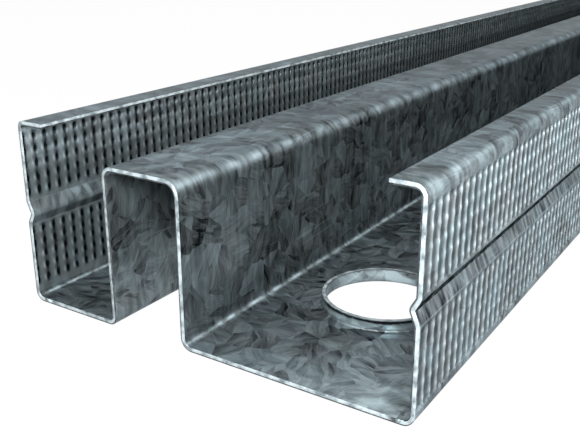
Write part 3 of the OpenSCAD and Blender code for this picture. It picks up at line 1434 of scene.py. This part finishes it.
@dataclass(frozen=True)
class Finish:
    """Base of every finish: a named material and its shader."""

    name: str

    def start(self) -> tuple[bpy.types.Material, Wiring, bpy.types.Node]:
        """Makes a node material whose shader is joined to the output.

        Returns:
            The material, the wiring of its nodes, and its shader.
        """
        material = bpy.data.materials.new(self.name)
        material.use_nodes = True
        tree = material.node_tree
        return material, Wiring(tree), tree.nodes["Principled BSDF"]


@dataclass(frozen=True)
class Galvanised(Finish):
    """Hot-dip zinc: crystals of spangle with fine streaks, on a dull blue grey.

    Scales are in cells or ripples for each millimetre of the flat sheet. Those in
    threes are across the sheet, along it and unused.
    """

    dark: Colour = (0.0168, 0.0210, 0.0234)
    light: Colour = (0.156, 0.186, 0.197)
    warm: Colour = (1.045, 1.0, 0.99)
    cool: Colour = (0.955, 1.0, 1.01)
    glint: Colour = (0.45, 0.50, 0.53)
    metallic: float = 0.80
    roughness: tuple[float, float] = (0.31, 0.43)
    dulling: float = -0.5
    relief: float = 0.05 * MM
    warp: float = 5.0
    warp_scale: float = 0.09
    crystal: float = 0.20
    shard: float = 0.60
    facet: float = 0.55
    shard_scale: tuple[float, float, float] = (1.2, 0.26, 1)
    streak_scale: tuple[float, float, float] = (2.4, 0.30, 1)
    fibre_scale: tuple[float, float, float] = (0.12, 0.7, 1)
    # This scale sets the patches of the painted highlights.
    sheen_patch_scale: tuple[float, float, float] = (0.14, 0.24, 1)
    rib_scale: tuple[float, float, float] = (0.5, 2.0, 1)
    cloud_scale: float = 0.05
    scratch_scale: tuple[float, float, float] = (1.8, 0.014, 1)
    scratch_angle: float = -0.06
    knurl_calm: float = -0.75
    draw_calm: float = -0.55
    most_draw: float = 0.8
    # The inner flat level is painted light on the flanges' inside flats, the outer band level painted shade
    # over the outside's knurl, and the knurl gain scales the knurl's painted shading.
    inner_flat_light: float = 0.29
    outer_band_shade: float = -0.22
    knurl_shading_gain: float = 1.6
    painted_light_gain: float = 0.8

    def build(self) -> bpy.types.Material:
        """Builds the finish.

        Its tone is a sum: the spangle, the drawn fibres, the knurl's painted shading
        and the painted light on the flanges' inside flats, the painted highlights and
        shade of the bends, the collars and the web's ends, and a few scratches. It
        runs from the dark to the light colour and a little past both.

        Returns:
            The material.
        """
        material, wire, shader = self.start()
        sheet = wire.stretch(wire.node("UVMap", uv_map="sheet").outputs[0], (1 / MM,) * 3)
        # Painted shading of the knurl, painted light and the draw, from the mesh.
        tooling_and_shading = wire.node("Attribute", attribute_name="tooling_and_shading").outputs["Vector"]
        knurl, rub_and_painted_light, draw = wire.node("SeparateXYZ", {0: tooling_and_shading}).outputs[:3]
        band = wire.node("Attribute", attribute_name="knurled").outputs["Fac"]
        calm = wire.math("MULTIPLY_ADD", wire.math("ABSOLUTE", band), self.knurl_calm, 1.0)
        calm = wire.math("MULTIPLY", calm, wire.math("MULTIPLY_ADD", draw, self.draw_calm, 1.1))
        drift = wire.noise(sheet, self.warp_scale, 3.0, "Color")
        place = wire.vector("MULTIPLY_ADD", drift, (self.warp, self.warp, 0), sheet)
        face, small, streak = self.spangle(wire, place)
        cloud = wire.noise(sheet, self.cloud_scale, 3.0)
        fibres = wire.spread(wire.noise(wire.stretch(place, self.fibre_scale), 1.0, 4.0), 0.32, 0.68)

        tone = wire.math("MULTIPLY", wire.weigh((face, 0.46), (small, 0.46), (streak, 0.90)), calm)
        drawn_in = wire.math("MINIMUM", draw, self.most_draw)
        drawing = wire.math("MULTIPLY", wire.weigh((fibres, 0.75), (cloud, 0.4)), drawn_in)
        tone = wire.math("ADD", tone, drawing)
        tone = wire.math("ADD", tone, wire.math("MULTIPLY", wire.weigh((cloud, 0.8)), calm))
        tone = wire.math("ADD", tone, 0.5)
        # Painted shading of the knurl, and painted light on the flanges' inside flats.
        tone = wire.math("MULTIPLY_ADD", self.pressed(wire, sheet, knurl, band), self.knurl_shading_gain, tone)
        # Painted highlights, patchy and cooler, and painted shade from the mesh.
        sheen_patches = wire.noise(wire.stretch(sheet, self.sheen_patch_scale), 1.0, 5.0)
        uneven = wire.spread(sheen_patches, 0.38, 0.63, 0.1, 2.4)
        painted_sheen = wire.math("MULTIPLY", wire.math("MAXIMUM", rub_and_painted_light, 0.0), uneven)
        worked_and_shaded = wire.math("ADD", painted_sheen, wire.math("MINIMUM", rub_and_painted_light, 0.0))
        tone = wire.math("MULTIPLY_ADD", worked_and_shaded, self.painted_light_gain, tone)
        tone = wire.math("MULTIPLY_ADD", self.scratches(wire, sheet), calm, tone)
        tone = wire.spread(tone, -0.1, 2.2, -0.1, 2.2)

        colour = wire.mix(tone, opaque(self.dark), opaque(self.light), clamp_factor=False)
        # Painted highlights turn the hue cooler.
        coolness = wire.spread(wire.math("MULTIPLY_ADD", painted_sheen, 1.2, face), 0.1, 0.9)
        hue = wire.mix(coolness, opaque(self.warm), opaque(self.cool))
        dull = wire.math("MAXIMUM", wire.math("MULTIPLY", rub_and_painted_light, self.dulling), 0.0)
        height = wire.math("MULTIPLY_ADD", streak, 0.6, wire.math("MULTIPLY", small, 0.4))
        bump = wire.node("Bump", {"Strength": 0.3, "Distance": self.relief, "Height": height})
        wire.fill(shader, {
            "Base Color": wire.mix(1.0, colour, hue, blend_type="MULTIPLY"),
            "Roughness": wire.math("ADD", wire.spread(small, 0, 1, *self.roughness), dull),
            "Metallic": self.metallic,
            "Specular Tint": opaque(self.glint),
            "Normal": bump.outputs[0],
        })
        return material

    def spangle(self, wire: Wiring, place: Source) -> tuple[bpy.types.NodeSocket, ...]:
        """Crystals, the long shards that each one breaks into, and streaks along them.

        Args:
            wire: the material's nodes.
            place: the place on the sheet.

        Returns:
            The tones of all three, each about 0 to 1.
        """
        face, angle = self.facing(wire, place, self.crystal)
        grain = wire.turn(place, angle)
        small, _ = self.facing(wire, wire.stretch(grain, self.shard_scale), self.shard)
        streak = wire.noise(wire.stretch(grain, self.streak_scale), 1.0, 4.0)
        return face, small, streak

    def facing(self, wire: Wiring, place: Source,
               scale: float) -> tuple[bpy.types.NodeSocket, bpy.types.NodeSocket]:
        """Tone across each cell of zinc, and the angle its grain lies at.

        A cell's tone is a random level plus a slope along a random direction, so
        that its sides show as facets against the next cells.

        Args:
            wire: the material's nodes.
            place: the place that the cells are laid out on.
            scale: their number for each unit of the place.

        Returns:
            The tone, about 0 to 1, and the angle.
        """
        cell = wire.node("TexVoronoi", {"Vector": place, "Scale": scale}, voronoi_dimensions="2D")
        level, turn, _ = wire.node("SeparateColor", {0: cell.outputs["Color"]}).outputs[:3]
        angle = wire.math("MULTIPLY", turn, math.tau)
        off = wire.vector("SUBTRACT", place, cell.outputs["Position"])
        way = wire.node("CombineXYZ", {0: wire.math("COSINE", angle), 1: wire.math("SINE", angle)})
        across = wire.vector("DOT_PRODUCT", off, way.outputs[0])
        return wire.math("ADD", level, wire.math("MULTIPLY", across, scale * self.facet)), angle

    def pressed(self, wire: Wiring, sheet: Source, knurl: Source, band: Source) -> bpy.types.NodeSocket:
        """The knurl's painted shading, uneven from rib to rib, over a painted level for
        each face: painted light on the flanges' inside flats, painted shade over the
        outside's knurl.

        Args:
            wire: the material's nodes.
            sheet: the place on the sheet, in millimetres.
            knurl: the painted shading.
            band: above zero on the outside's knurl and below zero on the flats inside.

        Returns:
            What the painted shading adds to the tone, before its gain.
        """
        level = wire.spread(band, -1.0, 1.0, self.inner_flat_light, self.outer_band_shade)
        level = wire.math("MULTIPLY", level, wire.math("ABSOLUTE", band))
        ribs = wire.spread(wire.noise(wire.stretch(sheet, self.rib_scale), 1.0, 3.0), 0.3, 0.7, 0.7, 1.3)
        return wire.math("MULTIPLY_ADD", knurl, ribs, level)

    def scratches(self, wire: Wiring, sheet: Source) -> bpy.types.NodeSocket:
        """A few long thin scratches, lying nearly along the stud.

        Args:
            wire: the material's nodes.
            sheet: the place on the sheet, in millimetres.

        Returns:
            What they add to the tone.
        """
        drawn = wire.stretch(wire.turn(sheet, self.scratch_angle), self.scratch_scale)
        line = wire.spread(wire.noise(drawn, 1.0, 1.0), 0.63, 0.70, 0.0, 0.55)
        where = wire.spread(wire.noise(sheet, self.cloud_scale, 1.0), 0.5, 0.62)
        return wire.math("MULTIPLY", line, where)


@dataclass(frozen=True)
class MottledSteel(Finish):
    """Base of two finishes that noise mottles, from a dark colour to a light one."""

    dark: Colour
    light: Colour
    grain: float
    limits: tuple[float, float]
    roughness: tuple[float, float]
    metallic: float
    specular: float

    def build(self) -> bpy.types.Material:
        """Builds the finish.

        Returns:
            The material.
        """
        material, wire, shader = self.start()
        mottle = wire.noise(wire.node("TexCoord").outputs["Object"], self.grain, 3.0)
        share = wire.spread(mottle, *self.limits)
        wire.fill(shader, {
            "Base Color": wire.mix(share, opaque(self.dark), opaque(self.light)),
            "Roughness": wire.spread(mottle, 0.3, 0.7, *self.roughness),
            "Metallic": self.metallic,
            "Specular IOR Level": self.specular,
        })
        return material


@dataclass(frozen=True)
class CutSteel(MottledSteel):
    """Sheared steel: pale, faintly mottled, with bluish spots."""

    dark: Colour = (0.062, 0.080, 0.089)
    light: Colour = (0.182, 0.213, 0.224)
    grain: float = 500
    limits: tuple[float, float] = (0.36, 0.56)
    roughness: tuple[float, float] = (0.40, 0.60)
    metallic: float = 0.3
    specular: float = 0.5


@dataclass(frozen=True)
class ShadedEdge(MottledSteel):
    """Dark, dull corners of cut and slit edges and of the collars' rims: painted shade, standing for the
    zinc that a shear draws over.
    """

    dark: Colour = (0.010, 0.013, 0.015)
    light: Colour = (0.05, 0.06, 0.065)
    grain: float = 600
    limits: tuple[float, float] = (0.35, 0.62)
    roughness: tuple[float, float] = (0.45, 0.65)
    metallic: float = 0.5
    specular: float = 0.2


@dataclass(frozen=True)
class GrooveShade(Finish):
    """Painted shade: near black, with a few lighter spots."""

    black: Colour = (0.002, 0.003, 0.003)
    thin: Colour = (0.02, 0.025, 0.027)
    spot_scale: tuple[float, float, float] = (300, 500, 1)

    def build(self) -> bpy.types.Material:
        """Builds the finish.

        Returns:
            The material.
        """
        material, wire, shader = self.start()
        sheet = wire.node("UVMap", uv_map="sheet").outputs[0]
        spots = wire.spread(wire.noise(wire.stretch(sheet, self.spot_scale), 1.0, 3.0), 0.45, 0.70)
        wire.fill(shader, {
            "Base Color": wire.mix(spots, opaque(self.black), opaque(self.thin)),
            "Specular IOR Level": 0.0,
            "Roughness": 0.9,
        })
        return material


# --------------------------------------------------------------------------
# The studio
# --------------------------------------------------------------------------


@dataclass(frozen=True)
class Lamp:
    """A soft lamp: its place and aim from the near end, its size and its power."""

    name: str
    spot: tuple[float, float, float]
    aim: tuple[float, float, float]
    size: tuple[float, float]
    power: float


@dataclass(frozen=True)
class Studio:
    """Camera, floor, backdrop and soft lamps round the stud's near end."""

    lamps: tuple[Lamp, ...] = (
        Lamp("key", (0.28, 0.24, 0.34), (0.0, 0.05, 0.02), (0.16, 0.22), 0.75),
        Lamp("low_right", (0.60, 0.17, 0.09), (0.05, 0.10, 0.02), (0.54, 0.16), 8.5),
        Lamp("by_camera", (0.12, -0.19, 0.19), (0.01, 0.02, 0.01), (0.12, 0.12), 4.0),
        Lamp("left_high", (-0.40, 0.40, 0.45), (0.0, 0.15, 0.02), (0.30, 0.40), 0.30),
    )
    eye: tuple[float, float, float] = (90.9 * MM, -106.6 * MM, 78.1 * MM)
    azimuth: float = 33.05
    elevation: float = 19.51
    lens: float = 50.04
    sensor: float = 36.0
    sight: tuple[float, float] = (0.005, 50.0)
    floor_size: float = 12.0
    floor_drop: float = 0.2 * MM
    floor_grey: float = 0.9
    floor_glow: float = 0.97
    fill: float = 0.30

    def build(self, near: np.ndarray) -> None:
        """Sets up the whole studio.

        Args:
            near: middle of the stud's near end, on the floor.
        """
        self.add_camera(near)
        self.add_floor()
        self.add_sky()
        self.add_lamps(near)
        bpy.context.scene.view_settings.view_transform = "Standard"

    def add_object(self, name: str, data: bpy.types.ID, place: np.ndarray) -> bpy.types.Object:
        """Adds an object to the scene at a place.

        Args:
            name: the object's name.
            data: its mesh, camera or light.
            place: where it goes.

        Returns:
            The object.
        """
        made = bpy.data.objects.new(name, data)
        made.location = place
        bpy.context.scene.collection.objects.link(made)
        return made

    def add_camera(self, near: np.ndarray) -> None:
        """Adds the camera, close to the near end and looking down along the stud.

        Args:
            near: middle of the stud's near end, on the floor.
        """
        data = bpy.data.cameras.new("camera")
        data.lens, data.sensor_width = self.lens, self.sensor
        data.clip_start, data.clip_end = self.sight
        camera = self.add_object("camera", data, near + np.array(self.eye))
        camera.rotation_euler = (math.radians(90 - self.elevation), 0, math.radians(self.azimuth))
        bpy.context.scene.camera = camera

    def add_floor(self) -> None:
        """Adds the pale floor, which keeps a faint shadow."""
        half = self.floor_size / 2
        mesh = bpy.data.meshes.new("floor")
        corners = [(-half, -half, 0), (half, -half, 0), (half, half, 0), (-half, half, 0)]
        mesh.from_pydata(corners, [], [(0, 1, 2, 3)])
        floor = self.add_object("floor", mesh, np.array([0, 0, -self.floor_drop]))
        material, wire, shader = Finish("pale_floor").start()
        grey = (self.floor_grey,) * 3
        wire.fill(shader, {"Base Color": opaque(grey), "Roughness": 0.9, "Specular IOR Level": 0.1})
        glow = wire.node("Emission", {"Strength": 1.0})
        self.show(wire, shader, glow, self.floor_glow, "Material Output")
        mesh.materials.append(material)

    def add_sky(self) -> None:
        """Adds the world: white where it is seen, softer where it only lights."""
        world = bpy.data.worlds.new("studio")
        bpy.context.scene.world = world
        world.use_nodes = True
        wire = Wiring(world.node_tree)
        white = opaque((1.0, 1.0, 1.0))
        light = world.node_tree.nodes["Background"]
        wire.fill(light, {"Color": white, "Strength": self.fill})
        self.show(wire, light, wire.node("Background", {"Color": white}), 1.0, "World Output")

    def show(self, wire: Wiring, lit: bpy.types.Node, seen: bpy.types.Node, share: float,
             output: str) -> None:
        """Joins two shaders to an output, one of them for rays that show the backdrop.

        Args:
            wire: the nodes.
            lit: the shader for every other ray.
            seen: the shader for rays from the camera, a shiny face or through a body.
            share: how much of it those rays meet.
            output: the output node's name.
        """
        path = wire.node("LightPath").outputs
        rays = wire.math("MAXIMUM", path["Is Camera Ray"], path["Is Glossy Ray"])
        rays = wire.math("MAXIMUM", rays, path["Is Transmission Ray"])
        part = wire.math("MULTIPLY", rays, share)
        mixed = wire.node("MixShader", {0: part, 1: lit.outputs[0], 2: seen.outputs[0]})
        wire.fill(wire.tree.nodes[output], {0: mixed.outputs[0]})

    def add_lamps(self, near: np.ndarray) -> None:
        """Adds the soft lamps, each aimed at a place by the near end.

        Args:
            near: middle of the stud's near end, on the floor.
        """
        for lamp in self.lamps:
            data = bpy.data.lights.new(lamp.name, "AREA")
            data.shape = "RECTANGLE"
            data.size, data.size_y = lamp.size
            data.energy = lamp.power
            made = self.add_object(lamp.name, data, near + np.array(lamp.spot))
            aim = np.array(lamp.aim) - np.array(lamp.spot)
            tilt = math.atan2(math.hypot(aim[0], aim[1]), -aim[2])
            made.rotation_euler = (tilt, 0, math.atan2(aim[1], aim[0]) - math.pi / 2)


# --------------------------------------------------------------------------
# The stud
# --------------------------------------------------------------------------


def stretches(stock: Stock, knurl: Knurl) -> tuple[tuple[str, float, int], ...]:
    """Lengths that each flange is made in, with the knurl's finest mesh at the near end.

    Args:
        stock: the stud.
        knurl: the flanges' pattern, whose ribs a joint runs between.

    Returns:
        Each length's name, its far limit and its number of steps from rib to rib.
    """
    near, middle = (knurl.first_rib + (ribs + 0.5) * knurl.pitch for ribs in (64, 160))
    return (("near", near, 8), ("middle", middle, 4), ("far", stock.length, 2))


def main() -> None:
    """Builds the stud's pieces in order, then the studio, and reports each."""
    logging.basicConfig(level=logging.INFO, format="%(name)s: %(message)s")
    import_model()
    low, high = (np.array(corner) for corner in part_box(NODE))
    stock = Stock(low, high)
    pieces = [Web(stock, Collar()).build(Flange.joint)]
    for side in Side:
        start = 0.0
        for name, stop, steps in stretches(stock, Knurl()):
            pieces.append(Flange(stock, side, f"{side.value}_flange_{name}", start, stop, steps).build())
            start = stop
    # The last two finishes, the dark edge and the groove's black, are painted shade.
    finishes = (
        Galvanised("galvanised"), CutSteel("cut_steel"), ShadedEdge("painted_edge_shade"), GrooveShade("painted_groove_shade"))
    for material in [finish.build() for finish in finishes]:
        for piece in pieces:
            piece.data.materials.append(material)
    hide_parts(NODE)
    Studio().build(np.array([0.0, low[1], 0.0]))


if __name__ == "__main__":
    main()
